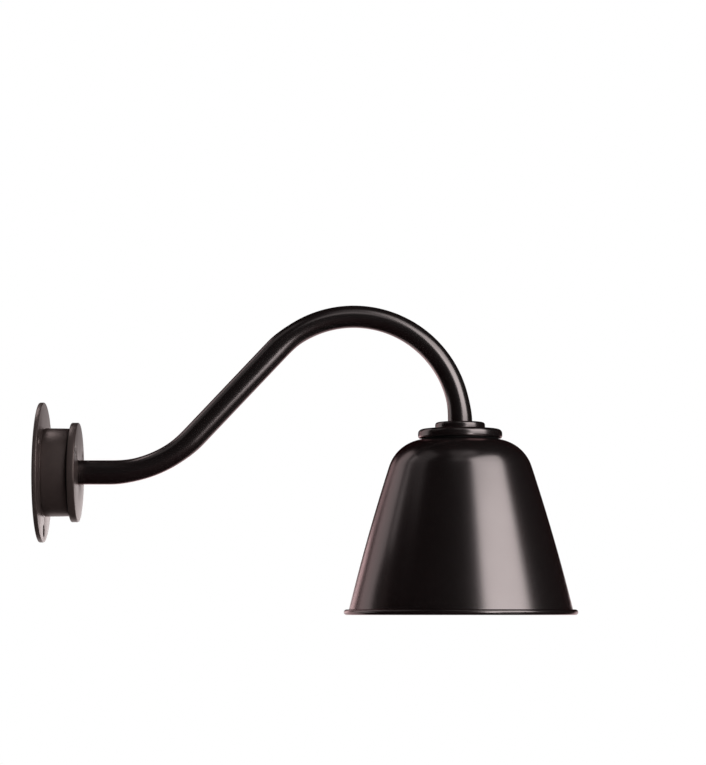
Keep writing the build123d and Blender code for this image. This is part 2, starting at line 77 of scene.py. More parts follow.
def penPath(bm, corners):
    vert = penStart(bm, *corners[0])
    verts = [vert]
    for corner in corners[1:]:
        vert = penLine(bm, vert, *corner)
        verts.append(vert)
    return verts


def penClose(bm, verts):
    bm.edges.new((verts[-1], verts[0]))
    return verts


def penArc(bm, vert, centre, degrees, steps):
    done = bmesh.ops.spin(
        bm, geom=[vert], cent=(centre[0], 0, centre[1]), axis=(0, -1, 0), angle=math.radians(degrees),
        steps=steps,
    )
    return [g for g in done["geom_last"] if isinstance(g, bmesh.types.BMVert)][0]


def penBezier(bm, vert, handle, endHandle, end, steps):
    knots = [vert.co.copy()] + [(radius, 0, height) for radius, height in (handle, endHandle, end)]
    for point in interpolate_bezier(*knots, steps + 1)[1:]:
        vert = penLine(bm, vert, point.x, point.z)
    return vert


def roundCorner(bm, vert, radius, segments):
    ways = [(edge.other_vert(vert).co - vert.co).normalized() for edge in vert.link_edges]
    turn = math.pi - ways[0].angle(ways[1])
    bmesh.ops.bevel(
        bm, geom=[vert], offset=radius * math.tan(turn / 2), offset_type="OFFSET", segments=segments,
        profile=0.5, affect="VERTICES", material=-1,
    )


def turnOutline(bm, steps):
    bmesh.ops.spin(
        bm, geom=bm.verts[:] + bm.edges[:], cent=(0, 0, 0), axis=(0, 0, 1), angle=fullTurn, steps=steps,
        use_merge=True,
    )
    bmesh.ops.remove_doubles(bm, verts=bm.verts[:], dist=samePoint)
    bmesh.ops.recalc_face_normals(bm, faces=bm.faces[:])


def turnedRing(corners, steps, segments=1):
    # corners are (radius, height, rounding) in a closed loop
    bm = bmesh.new()
    verts = penClose(bm, penPath(bm, [corner[:2] for corner in corners]))
    for vert, corner in zip(verts, corners):
        if corner[2] > 0:
            roundCorner(bm, vert, corner[2], segments)
    turnOutline(bm, steps)
    return bm


def flatGasket(low, high, outer, inner, rounding, steps, segments=2):
    corners = [(inner, low, 0), (outer, low, rounding), (outer, high, rounding), (inner, high, 0)]
    return turnedRing(corners, steps, segments)


def finishPiece(bm, name, body, material, node, place=Matrix.Identity(4), sharpDegrees=32):
    bmesh.ops.transform(bm, matrix=Matrix.Scale(millimetre, 4) @ place, verts=bm.verts[:])
    for face in bm.faces:
        face.smooth = True
    for edge in bm.edges:
        if len(edge.link_faces) == 2 and edge.calc_face_angle() > math.radians(sharpDegrees):
            edge.smooth = False
    mesh = bpy.data.meshes.new(name)
    bm.to_mesh(mesh)
    bm.free()
    mesh.materials.append(material)
    piece = bpy.data.objects.new(name, mesh)
    bpy.context.scene.collection.objects.link(piece)
    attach(piece, body)
    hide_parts(node)


# materials
noiseSpan = (0.3, 0.7)  # nearly all of a noise's values lie between these


def startMaterial(name):
    material = bpy.data.materials.new(name)
    material.use_nodes = True
    nodes, links = material.node_tree.nodes, material.node_tree.links
    shader = nodes["Principled BSDF"]
    place = nodes.new("ShaderNodeTexCoord")
    return material, nodes, links, shader, place.outputs["Object"]


def addNoise(nodes, links, place, scale, detail, roughness=0.5):
    noise = nodes.new("ShaderNodeTexNoise")
    noise.inputs["Scale"].default_value = scale
    noise.inputs["Detail"].default_value = detail
    noise.inputs["Roughness"].default_value = roughness
    links.new(place, noise.inputs["Vector"])
    return noise.outputs["Fac"]


def addRange(nodes, links, value, low, high, span=noiseSpan):
    spread = nodes.new("ShaderNodeMapRange")
    spread.inputs["From Min"].default_value = span[0]
    spread.inputs["From Max"].default_value = span[1]
    spread.inputs["To Min"].default_value = low
    spread.inputs["To Max"].default_value = high
    links.new(value, spread.inputs["Value"])
    return spread.outputs["Result"]


def addColours(nodes, links, value, *colours):
    ramp = nodes.new("ShaderNodeValToRGB")
    for element, position, colour in zip(ramp.color_ramp.elements, noiseSpan, colours):
        element.position = position
        element.color = (*colour, 1)
    links.new(value, ramp.inputs["Fac"])
    return ramp.outputs["Color"]


def addBump(nodes, links, height, distance, below=None):
    bump = nodes.new("ShaderNodeBump")
    bump.inputs["Strength"].default_value = 1.0
    bump.inputs["Distance"].default_value = distance
    links.new(height, bump.inputs["Height"])
    if below is not None:
        links.new(below, bump.inputs["Normal"])
    return bump.outputs["Normal"]


def powderCoat(name, look):
    # colour drifts slowly, over a fine grain and a broader orange peel
    material, nodes, links, shader, place = startMaterial(name)
    drift = addNoise(nodes, links, place, look["driftScale"], detail=2.0)
    grain = addNoise(nodes, links, place, look["grainScale"], detail=2.0, roughness=0.6)
    peel = addNoise(nodes, links, place, look["peelScale"], detail=1.0)
    links.new(addColours(nodes, links, drift, look["deep"], look["light"]), shader.inputs["Base Color"])
    links.new(addRange(nodes, links, grain, *look["roughness"]), shader.inputs["Roughness"])
    peelNormal = addBump(nodes, links, peel, look["peelDepth"])
    links.new(addBump(nodes, links, grain, look["grainDepth"], peelNormal), shader.inputs["Normal"])
    shader.inputs["IOR"].default_value = look["ior"]
    shader.inputs["Metallic"].default_value = look["metallic"]
    shader.inputs["Specular Tint"].default_value = (*look["tint"], 1)
    return material


usualFinish = {
    "driftScale": 60.0, "grainScale": 900.0, "grainDepth": 0.00001, "metallic": 0.0, "coat": 0.0,
    "subsurface": 0.0, "subsurfaceScale": 0.002,
}


def plainFinish(name, ownLook):
    look = {**usualFinish, **ownLook}
    material, nodes, links, shader, place = startMaterial(name)
    drift = addNoise(nodes, links, place, look["driftScale"], detail=3.0)
    grain = addNoise(nodes, links, place, look["grainScale"], detail=2.0)
    links.new(addColours(nodes, links, drift, look["deep"], look["light"]), shader.inputs["Base Color"])
    links.new(addRange(nodes, links, grain, *look["roughness"]), shader.inputs["Roughness"])
    links.new(addBump(nodes, links, grain, look["grainDepth"]), shader.inputs["Normal"])
    shader.inputs["Metallic"].default_value = look["metallic"]
    shader.inputs["Coat Weight"].default_value = look["coat"]
    shader.inputs["Subsurface Weight"].default_value = look["subsurface"]
    shader.inputs["Subsurface Scale"].default_value = look["subsurfaceScale"]
    return material


coats = {
    "satin": {
        "deep": (0.107, 0.093, 0.092), "light": (0.117, 0.102, 0.101), "roughness": (0.215, 0.235),
        "tint": (0.96, 0.72, 0.73), "ior": 1.5, "metallic": 0.95, "driftScale": 14.0,
        "grainScale": 1500.0, "grainDepth": 0.000002, "peelScale": 420.0, "peelDepth": 0.00001,
    },
    "matt": {
        "deep": (0.080, 0.061, 0.057), "light": (0.096, 0.073, 0.068), "roughness": (0.35, 0.39),
        "tint": (1.0, 0.84, 0.83), "ior": 1.7, "metallic": 0.6, "driftScale": 24.0,
        "grainScale": 1300.0, "grainDepth": 0.000008, "peelScale": 520.0, "peelDepth": 0.00002,
    },
    "black": {
        "deep": (0.010, 0.010, 0.010), "light": (0.014, 0.014, 0.014), "roughness": (0.42, 0.54),
        "tint": (1.0, 1.0, 1.0), "ior": 1.5, "metallic": 0.0, "driftScale": 30.0,
        "grainScale": 1300.0, "grainDepth": 0.00002, "peelScale": 520.0, "peelDepth": 0.00004,
    },
}
finishes = {
    "gasketRubber": {
        "deep": (0.006, 0.006, 0.006), "light": (0.010, 0.010, 0.010), "roughness": (0.7, 0.85),
        "grainDepth": 0.00003,
    },
    "zincPlate": {
        "deep": (0.45, 0.45, 0.47), "light": (0.60, 0.59, 0.57), "roughness": (0.28, 0.42), "metallic": 1.0,
    },
    "linerPlastic": {"deep": (0.02, 0.02, 0.02), "light": (0.03, 0.03, 0.03), "roughness": (0.45, 0.55)},
    "cableJacket": {"deep": (0.012, 0.012, 0.012), "light": (0.02, 0.02, 0.02), "roughness": (0.55, 0.65)},
    "blackCore": {"deep": (0.010, 0.010, 0.010), "light": (0.015, 0.015, 0.015), "roughness": (0.35, 0.45)},
    "whiteCore": {"deep": (0.70, 0.70, 0.67), "light": (0.76, 0.76, 0.74), "roughness": (0.35, 0.45)},
    "greenCore": {"deep": (0.015, 0.14, 0.04), "light": (0.02, 0.18, 0.05), "roughness": (0.35, 0.45)},
    "orangeCap": {"deep": (0.62, 0.14, 0.02), "light": (0.70, 0.18, 0.03), "roughness": (0.38, 0.48)},
    "porcelainGlaze": {
        "deep": (0.72, 0.70, 0.65), "light": (0.78, 0.77, 0.73), "roughness": (0.14, 0.24),
        "driftScale": 40.0, "grainScale": 500.0, "grainDepth": 0.00002, "coat": 0.6, "subsurface": 0.15,
    },
    "drawnBrass": {
        "deep": (0.52, 0.36, 0.13), "light": (0.66, 0.47, 0.20), "roughness": (0.22, 0.36), "metallic": 1.0,
    },
    "nickelBase": {
        "deep": (0.52, 0.51, 0.49), "light": (0.64, 0.63, 0.60), "roughness": (0.2, 0.32), "metallic": 1.0,
    },
    "solderTip": {
        "deep": (0.42, 0.42, 0.42), "light": (0.55, 0.55, 0.55), "roughness": (0.3, 0.5), "metallic": 1.0,
        "grainScale": 700.0, "grainDepth": 0.0001,
    },
    "blackGlass": {
        "deep": (0.008, 0.008, 0.009), "light": (0.012, 0.012, 0.013), "roughness": (0.08, 0.14), "coat": 0.5,
    },
    "bulbShell": {
        "deep": (0.74, 0.74, 0.73), "light": (0.78, 0.78, 0.77), "roughness": (0.32, 0.42), "subsurface": 0.1,
    },
    "opalDome": {
        "deep": (0.80, 0.79, 0.76), "light": (0.84, 0.83, 0.81), "roughness": (0.30, 0.40), "subsurface": 0.5,
    },
    "boardMask": {"deep": (0.70, 0.70, 0.70), "light": (0.76, 0.76, 0.76), "roughness": (0.3, 0.4)},
    "phosphor": {"deep": (0.68, 0.50, 0.06), "light": (0.76, 0.58, 0.10), "roughness": (0.5, 0.6)},
    "pottedBoard": {"deep": (0.03, 0.14, 0.05), "light": (0.04, 0.18, 0.07), "roughness": (0.4, 0.55)},
}
materials = {name: powderCoat(name + "Coat", look) for name, look in coats.items()}
materials.update({name: plainFinish(name, look) for name, look in finishes.items()})
print("materials made:", len(materials))


# wall plate: a flat disc drilled for its bolts and the supply
plate = {
    "rimSteps": 192, "holeSteps": 48, "round": 0.8, "roundSegments": 3, "boltCircle": 63.5,
    "boltRadius": 6.35, "boltDegrees": (-90, 30, 150), "supplyRadius": 11.1,
}
wallHigh = nodeBox("wall_plate")[1]


def onCircle(radius, degrees):
    # y and z on the mount, from +Y towards +Z
    return radius * math.cos(math.radians(degrees)), radius * math.sin(math.radians(degrees))


def drilledDisc(radius, thickness, holes, steps, rounding, segments, cornerDegrees=60):
    # holes are (y, z, radius, steps); the disc lies on z = 0 until it is turned to face the room
    bm = bmesh.new()
    bmesh.ops.create_circle(bm, radius=radius, segments=steps)
    for y, z, holeRadius, holeSteps in holes:
        middle = Matrix.Translation((-z, y, 0))
        bmesh.ops.create_circle(bm, radius=holeRadius, segments=holeSteps, matrix=middle)
    bmesh.ops.triangle_fill(bm, use_beauty=True, edges=bm.edges[:])
    grown = bmesh.ops.extrude_face_region(bm, geom=bm.faces[:])
    raised = [g for g in grown["geom"] if isinstance(g, bmesh.types.BMVert)]
    bmesh.ops.translate(bm, verts=raised, vec=(0, 0, thickness))
    bmesh.ops.recalc_face_normals(bm, faces=bm.faces[:])
    corners = [edge for edge in bm.edges if edge.calc_face_angle(0) > math.radians(cornerDegrees)]
    bmesh.ops.bevel(
        bm, geom=corners, offset=rounding, offset_type="OFFSET", segments=segments, profile=0.5,
        affect="EDGES", material=-1, clamp_overlap=True,
    )
    return bm


def makePlate():
    holes = [
        (*onCircle(plate["boltCircle"], degrees), plate["boltRadius"], plate["holeSteps"])
        for degrees in plate["boltDegrees"]
    ]
    holes.append((0, 0, plate["supplyRadius"], plate["holeSteps"]))
    return drilledDisc(
        wallHigh.z, wallHigh.x, holes, plate["rimSteps"], plate["round"], plate["roundSegments"]
    )


finishPiece(
    makePlate(), "wallPlate", rootBody, materials["matt"], "wall_plate", towardsRoom
)
print("wall plate made")


# junction box: a cast drum with a crease round its foot and two bosses for the cover's screws
drum = {
    "frontRadius": 47.85, "draft": 0.05, "wall": 3.6, "floor": 3.2, "footLand": 0.15, "creaseFrom": 0.35,
    "creaseTo": 1.1, "creaseEnd": 1.7, "creaseDepth": 0.7, "creaseRound": 0.2, "creaseEndRound": 0.4,
    "lipRound": 0.7, "edgeRound": 0.3, "floorRound": 2.0, "roundSegments": 3, "steps": 160,
    "bossRadius": 5.5, "bossCircle": 39.5, "bossDegrees": (30, 150), "bossDrop": 0.05, "bossSteps": 40,
}
drumLow, drumHigh = nodeBox("junction_box")


def makeDrum():
    foot, front = drumLow.x, drumHigh.x
    outer, inner = drumHigh.z, drumHigh.z - drum["wall"]
    creased = outer - drum["creaseDepth"]
    corners = [
        (plate["supplyRadius"], foot, drum["edgeRound"]),
        (outer, foot, 0),
        (outer, foot + drum["footLand"], 0),
        (creased, foot + drum["creaseFrom"], drum["creaseRound"]),
        (creased, foot + drum["creaseTo"], drum["creaseRound"]),
        (outer - drum["draft"], foot + drum["creaseEnd"], drum["creaseEndRound"]),
        (drum["frontRadius"], front, drum["lipRound"]),
        (inner, front, drum["edgeRound"]),
        (inner, foot + drum["floor"], drum["floorRound"]),
        (plate["supplyRadius"], foot + drum["floor"], drum["edgeRound"]),
    ]
    bm = turnedRing(corners, drum["steps"], drum["roundSegments"])
    height = front - foot - drum["floor"]
    for degrees in drum["bossDegrees"]:
        y, z = onCircle(drum["bossCircle"], degrees)
        middle = Matrix.Translation((-z, y, front - height / 2 - drum["bossDrop"]))
        bmesh.ops.create_cone(
            bm, cap_ends=True, segments=drum["bossSteps"], radius1=drum["bossRadius"],
            radius2=drum["bossRadius"], depth=height, matrix=middle,
        )
    return bm


finishPiece(
    makeDrum(), "junctionBox", rootBody, materials["matt"], "junction_box", towardsRoom
)


# cover gasket, and the cover plate, drilled for its two flush screws and the pipe
cover = {
    "steps": 160, "round": 1.2, "roundSegments": 4, "screwRadius": 5.0, "screwGap": 0.18,
    "holeSteps": 40, "pipeGap": 0.12, "pipeSteps": 72, "gasketInner": 33.0, "gasketRound": 0.3,
}
gasketLow, gasketHigh = nodeBox("cover_gasket")
coverLow, coverHigh = nodeBox("cover_plate")
armLow, armHigh = nodeBox("arm_tube")
pipeRadius = armHigh.y


def makeCoverGasket():
    return flatGasket(
        gasketLow.x, gasketHigh.x, gasketHigh.z, cover["gasketInner"], cover["gasketRound"], cover["steps"]
    )


def makeCover():
    sunk = cover["screwRadius"] + cover["screwGap"]
    holes = [
        (*onCircle(drum["bossCircle"], degrees), sunk, cover["holeSteps"])
        for degrees in drum["bossDegrees"]
    ]
    holes.append((0, 0, pipeRadius + cover["pipeGap"], cover["pipeSteps"]))
    return drilledDisc(
        coverHigh.z, coverHigh.x - coverLow.x, holes, cover["steps"], cover["round"],
        cover["roundSegments"],
    )


finishPiece(
    makeCoverGasket(), "coverGasket", rootBody, materials["gasketRubber"],
    "cover_gasket", towardsRoom,
)
finishPiece(
    makeCover(), "coverPlate", rootBody, materials["matt"], "cover_plate",
    Matrix.Translation((coverLow.x, 0, 0)) @ towardsRoom,
)
print("junction box and cover made")


# arm: one pipe, drawn out and bent as it is made, a little flattened in its bends
arm = {
    "steps": 72, "wall": 2.87, "firstRunEnd": 76.6, "firstBend": 125.8, "riseDegrees": 46.7,
    "archRadius": 116.1, "archFlat": 0.92, "bendFlat": 0.94, "fadeDegrees": 14.0, "bendReach": (0.5, 1.5),
    "firstRunSteps": 4, "firstBendSteps": 32, "riseSteps": 6, "archSteps": 80, "dropSteps": 3,
}


def moveRing(bm, ring, step, count):
    for _ in range(count):
        grown = bmesh.ops.extrude_edge_only(bm, edges=ring)["geom"]
        verts = [g for g in grown if isinstance(g, bmesh.types.BMVert)]
        bmesh.ops.translate(bm, verts=verts, vec=step / count)
        ring = [g for g in grown if isinstance(g, bmesh.types.BMEdge) and all(v in verts for v in g.verts)]
    return ring


def bendRing(bm, ring, centre, degrees, count):
    verts = list({vert for edge in ring for vert in edge.verts})
    done = bmesh.ops.spin(
        bm, geom=verts + ring, cent=centre, axis=(0, -1, 0), angle=math.radians(degrees), steps=count
    )
    return [g for g in done["geom_last"] if isinstance(g, bmesh.types.BMEdge)]


def flattenBend(bm, centre, bendRadius, startDegrees, endDegrees, flat):
    # angles are from +X towards +Z about the bend's centre; the pipe narrows in the bend's plane
    nearest, furthest = (share * bendRadius for share in arm["bendReach"])
    for vert in bm.verts:
        away = Vector((vert.co.x - centre.x, 0, vert.co.z - centre.z))
        if not nearest < away.length < furthest:
            continue
        here = math.degrees(math.atan2(away.z, away.x))
        if not min(startDegrees, endDegrees) < here < max(startDegrees, endDegrees):
            continue
        inside = min(abs(here - startDegrees), abs(here - endDegrees))
        fade = min(1, inside / arm["fadeDegrees"])
        share = 1 - (1 - flat) * fade * fade * (3 - 2 * fade)
        vert.co += away.normalized() * (away.length - bendRadius) * (share - 1)


def makeArm():
    rise = math.radians(arm["riseDegrees"])
    firstBend, archRadius = arm["firstBend"], arm["archRadius"]
    firstCentre = Vector((arm["firstRunEnd"], 0, firstBend))
    archCentre = Vector((headX - archRadius, 0, 0))
    riseStartX = arm["firstRunEnd"] + firstBend * math.sin(rise)
    riseStart = Vector((riseStartX, 0, firstBend * (1 - math.cos(rise))))
    riseLength = (archCentre.x - archRadius * math.sin(rise) - riseStart.x) / math.cos(rise)
    riseStep = Vector((math.cos(rise), 0, math.sin(rise))) * riseLength
    archCentre.z = riseStart.z + riseStep.z - archRadius * math.cos(rise)
    bm = bmesh.new()
    start = Matrix.Translation((armLow.x, 0, 0)) @ towardsRoom
    bmesh.ops.create_circle(bm, radius=pipeRadius, segments=arm["steps"], matrix=start)
    firstRun = Vector((arm["firstRunEnd"] - armLow.x, 0, 0))
    ring = moveRing(bm, bm.edges[:], firstRun, arm["firstRunSteps"])
    ring = bendRing(bm, ring, firstCentre, arm["riseDegrees"], arm["firstBendSteps"])
    ring = moveRing(bm, ring, riseStep, arm["riseSteps"])
    ring = bendRing(bm, ring, archCentre, -(arm["riseDegrees"] + 90), arm["archSteps"])
    moveRing(bm, ring, Vector((0, 0, armLow.z - archCentre.z)), arm["dropSteps"])
    flattenBend(bm, archCentre, archRadius, 90 + arm["riseDegrees"], 0, arm["archFlat"])
    flattenBend(bm, firstCentre, firstBend, -90, -90 + arm["riseDegrees"], arm["bendFlat"])
    bmesh.ops.recalc_face_normals(bm, faces=bm.faces[:])
    # the bore is drawn inwards from the outside, and the pipe's two ends stay open
    bmesh.ops.solidify(bm, geom=bm.faces[:], thickness=arm["wall"])
    bmesh.ops.recalc_face_normals(bm, faces=bm.faces[:])
    return bm


finishPiece(makeArm(), "armTube", rootBody, materials["satin"], "arm_tube")
print("arm made")


# stem nut, shade cap and cap gasket on the head's axis
stackSteps = 144
stemNut = {
    "footGap": 0, "footBoreRound": 0.4, "footRound": 0.6, "topRound": 3.0, "topGap": 0.05,
    "topBoreRound": 0.3, "segments": 7,
}
shadeCap = {
    "footGap": 0.05, "footBoreRound": 0.4, "footRound": 2.5, "topRound": 4.5, "topGap": 0.05,
    "topBoreRound": 0.4, "segments": 8,
}
capGasket = {"inner": 24.0, "round": 0.2}
nutLow, nutHigh = nodeBox("stem_nut")
capGasketLow, capGasketHigh = nodeBox("cap_gasket")


def boredDisc(low, high, look):
    radius = (high.x - low.x) / 2
    corners = [
        (pipeRadius + look["footGap"], low.z, look["footBoreRound"]),
        (radius, low.z, look["footRound"]),
        (radius, high.z, look["topRound"]),
        (pipeRadius + look["topGap"], high.z, look["topBoreRound"]),
    ]
    return turnedRing(corners, stackSteps, look["segments"])


def makeCapGasket():
    outer = (capGasketHigh.x - capGasketLow.x) / 2
    return flatGasket(
        capGasketLow.z, capGasketHigh.z, outer, capGasket["inner"], capGasket["round"], stackSteps
    )


finishPiece(
    boredDisc(nutLow, nutHigh, stemNut), "stemNut", rootBody, materials["satin"],
    "stem_nut", onHeadAxis,
)
finishPiece(
    boredDisc(capLow, capHigh, shadeCap), "shadeCap", headBody, materials["satin"],
    "shade_cap", onHeadAxis,
)
finishPiece(
    makeCapGasket(), "capGasket", headBody, materials["gasketRubber"], "cap_gasket",
    onHeadAxis,
)
print("cap made")


# shade: the sheet's outer face is drawn once, turned, and given the sheet's thickness inwards
shade = {
    "sheet": 1.2, "hole": 22.0, "flat": 37.2, "shoulder": 42.4, "bow": 2310.0, "curl": 3.0,
    "curlDegrees": 300.0, "steps": 224, "shoulderSteps": 18, "bowSteps": 26, "curlSteps": 22,
}
shadeLow, shadeHigh = nodeBox("shade")


def makeShade():
    shoulder = Vector((shade["flat"], shadeHigh.z - shade["shoulder"]))
    rimRadius = min(shadeHigh.x - shadeLow.x, shadeHigh.y - shadeLow.y) / 2
    curl = Vector((rimRadius - shade["curl"], shadeLow.z + shade["curl"]))
    # the side's wide arc has the shoulder's arc inside it, and meets the curl's inner arc from outside
    curlInner = shade["curl"] - shade["sheet"]
    nearSide, farSide = shade["bow"] - shade["shoulder"], shade["bow"] + curlInner
    apart = (curl - shoulder).length
    corner = math.acos((nearSide**2 + apart**2 - farSide**2) / (2 * nearSide * apart))
    heading = math.atan2(curl.y - shoulder.y, curl.x - shoulder.x) - corner
    bow = shoulder + nearSide * Vector((math.cos(heading), math.sin(heading)))
    topDegrees = math.degrees(heading) + 180
    footDegrees = math.degrees(math.atan2(curl.y - bow.y, curl.x - bow.x))
    bm = bmesh.new()
    start = penStart(bm, shade["hole"], shadeHigh.z)
    vert = penLine(bm, start, shade["flat"], shadeHigh.z)
    vert = penArc(bm, vert, shoulder, topDegrees - 90, shade["shoulderSteps"])
    vert = penArc(bm, vert, bow, footDegrees - topDegrees, shade["bowSteps"])
    penArc(bm, vert, curl, shade["curlDegrees"], shade["curlSteps"])
    turnOutline(bm, shade["steps"])
    top = max(bm.faces, key=lambda face: face.calc_center_median().z)
    if top.normal.z < 0:
        bmesh.ops.reverse_faces(bm, faces=bm.faces[:])
    bmesh.ops.solidify(bm, geom=bm.faces[:], thickness=shade["sheet"])
    bmesh.ops.recalc_face_normals(bm, faces=bm.faces[:])
    return bm


finishPiece(
    makeShade(), "spunShade", headBody, materials["satin"], "shade", onHeadAxis
)
print("shade made")


# socket housing: a flanged cup with two lugs inside for the bracket
housing = {
    "flange": 35.0, "flangeUnder": 30.9, "flangeRound": 0.8, "topRound": 0.2, "outer": 25.2,
    "bore": 22.0, "boreRound": 0.4, "mouthRound": 1.4, "cornerRound": 3.0, "roundSegments": 6,
    "steps": 128, "lugInner": 15.5, "lugSink": 1.0, "lugWidth": 9.0, "lugFoot": 10.5, "lugHeight": 6.0,
    "lugRound": 0.5, "lugSegments": 2,
}
housingLow, housingHigh = nodeBox("socket_housing")


def addLug(bm, side):
    length = housing["bore"] + housing["lugSink"] - housing["lugInner"]
    middle = housing["lugInner"] + length / 2
    height = housing["lugFoot"] + housing["lugHeight"] / 2
    place = Matrix.Translation((side * middle, 0, height))
    size = Matrix.Diagonal((length, housing["lugWidth"], housing["lugHeight"], 1))
    lug = bmesh.ops.create_cube(bm, size=1, matrix=place @ size)["verts"]
    edges = list({edge for vert in lug for edge in vert.link_edges})
    bmesh.ops.bevel(
        bm, geom=edges, offset=housing["lugRound"], offset_type="OFFSET",
        segments=housing["lugSegments"], profile=0.5, affect="EDGES", material=-1,
    )


def makeHousing():
    low, high = housingLow.z, housingHigh.z
    corners = [
        (housing["bore"], high, housing["boreRound"]),
        (housing["flange"], high, housing["topRound"]),
        (housing["flange"], housing["flangeUnder"], housing["flangeRound"]),
        (housing["outer"], housing["flangeUnder"], housing["cornerRound"]),
        (housing["outer"], low, housing["mouthRound"]),
        (housing["bore"], low, housing["mouthRound"]),
    ]
    bm = turnedRing(corners, housing["steps"], housing["roundSegments"])
    for side in (-1, 1):
        addLug(bm, side)
    return bm


finishPiece(
    makeHousing(), "socketHousing", headBody, materials["black"], "socket_housing",
    onHeadAxis,
)


# bulb: a rolled screw base, a flared body and an opal dome with a fine seam between them
bulb = {
    "steps": 112, "crest": 13.1, "root": 12.15, "pitch": 3.63, "threadLow": -33.6, "threadHigh": -16.2,
    "turns": 6, "turnSteps": 56, "waveSteps": 10, "shell": 0.4, "weld": 0.002, "baseSharpDegrees": 50,
    "collar": 12.3, "collarWall": 0.5, "collarLap": 0.2, "collarDip": 0.3, "collarEdge": 0.6,
    "neck": 13.6, "neckHeight": -40.0, "neckPull": (4.0, 14.5), "sidePull": 17.5, "across": 30.0,
    "joint": -80.0, "ballHeight": -88.0, "wall": 1.4, "seam": 0.5, "outerSteps": 28, "innerSteps": 20,
    "domeOuterSteps": 26, "domeInnerSteps": 20,
}
baseLow, baseHigh = nodeBox("bulb_base")


def addCollar(bm, corners):
    ring = turnedRing([(*corner, 0) for corner in corners], bulb["steps"])
    mesh = bpy.data.meshes.new("collar")
    ring.to_mesh(mesh)
    ring.free()
    bm.from_mesh(mesh)
    bpy.data.meshes.remove(mesh)


def makeBulbBase():
    # one pitch of the thread's wave is drawn and wound up the base, then cut level at both ends
    bm = bmesh.new()
    middle, swing = (bulb["crest"] + bulb["root"]) / 2, (bulb["crest"] - bulb["root"]) / 2
    foot = bulb["threadLow"] - bulb["pitch"]
    wave = []
    for step in range(bulb["waveSteps"] + 1):
        share = step / bulb["waveSteps"]
        wave.append((middle - swing * math.cos(fullTurn * share), foot + bulb["pitch"] * share))
    penPath(bm, wave)
    rise = Vector((0, 0, bulb["pitch"] / bulb["turnSteps"]))
    bmesh.ops.spin(
        bm, geom=bm.verts[:] + bm.edges[:], cent=(0, 0, 0), axis=(0, 0, 1),
        angle=fullTurn * bulb["turns"], steps=bulb["turnSteps"] * bulb["turns"], dvec=rise,
    )
    bmesh.ops.remove_doubles(bm, verts=bm.verts[:], dist=bulb["weld"])
    for height, way in ((bulb["threadLow"], -1), (bulb["threadHigh"], 1)):
        bmesh.ops.bisect_plane(
            bm, geom=bm.verts[:] + bm.edges[:] + bm.faces[:], plane_co=(0, 0, height),
            plane_no=(0, 0, way), clear_outer=True,
        )
    bmesh.ops.recalc_face_normals(bm, faces=bm.faces[:])
    bmesh.ops.solidify(bm, geom=bm.faces[:], thickness=bulb["shell"])
    outer, inner = bulb["collar"], bulb["root"] - bulb["collarWall"]
    topFoot = bulb["threadHigh"] - bulb["collarLap"]
    addCollar(bm, [
        (inner, bulb["threadLow"] - bulb["collarDip"]), (outer, bulb["threadLow"] + bulb["collarLap"]),
        (outer, baseLow.z), (inner, baseLow.z),
    ])
    addCollar(bm, [
        (inner, baseHigh.z), (outer - bulb["collarEdge"], baseHigh.z),
        (outer, baseHigh.z - bulb["collarEdge"]), (outer, topFoot), (inner, topFoot),
    ])
    bmesh.ops.recalc_face_normals(bm, faces=bm.faces[:])
    return bm


def makeBulbBody():
    bm = bmesh.new()
    neck, neckHeight, wall = bulb["neck"], bulb["neckHeight"], bulb["wall"]
    across, joint = bulb["across"], bulb["joint"]
    neckPull, neckDrop = bulb["neckPull"]
    start = penStart(bm, neck, baseLow.z)
    vert = penLine(bm, start, neck, neckHeight)
    vert = penBezier(
        bm, vert, (neck + neckPull, neckHeight - neckDrop), (across, joint + bulb["sidePull"]),
        (across, joint + bulb["seam"]), bulb["outerSteps"],
    )
    vert = penLine(bm, vert, across - bulb["seam"], joint)
    vert = penLine(bm, vert, across - wall, joint)
    vert = penBezier(
        bm, vert, (across - wall, joint + bulb["sidePull"]),
        (neck - wall + neckPull, neckHeight - neckDrop), (neck - wall, neckHeight), bulb["innerSteps"],
    )
    vert = penLine(bm, vert, neck - wall, baseLow.z)
    penClose(bm, [start, vert])
    turnOutline(bm, bulb["steps"])
    return bm


def makeDome():
    bm = bmesh.new()
    centre = (0, bulb["ballHeight"])
    across, joint = bulb["across"], bulb["joint"]
    start = penStart(bm, across - bulb["wall"], joint)
    vert = penLine(bm, start, across - bulb["seam"], joint)
    vert = penLine(bm, vert, across, joint - bulb["seam"])
    vert = penLine(bm, vert, across, bulb["ballHeight"])
    vert = penArc(bm, vert, centre, -90, bulb["domeOuterSteps"])
    vert = penLine(bm, vert, 0, vert.co.z + bulb["wall"])
    vert = penArc(bm, vert, centre, 90, bulb["domeInnerSteps"])
    penClose(bm, [start, vert])
    turnOutline(bm, bulb["steps"])
    return bm


finishPiece(
    makeBulbBase(), "bulbBase", bulbBody, materials["nickelBase"], "bulb_base",
    onHeadAxis, bulb["baseSharpDegrees"],
)
finishPiece(
    makeBulbBody(), "bulbNeck", bulbBody, materials["bulbShell"], "bulb_body", onHeadAxis
)
finishPiece(
    makeDome(), "bulbDome", bulbBody, materials["opalDome"], "bulb_dome", onHeadAxis
)
print("housing and bulb made")


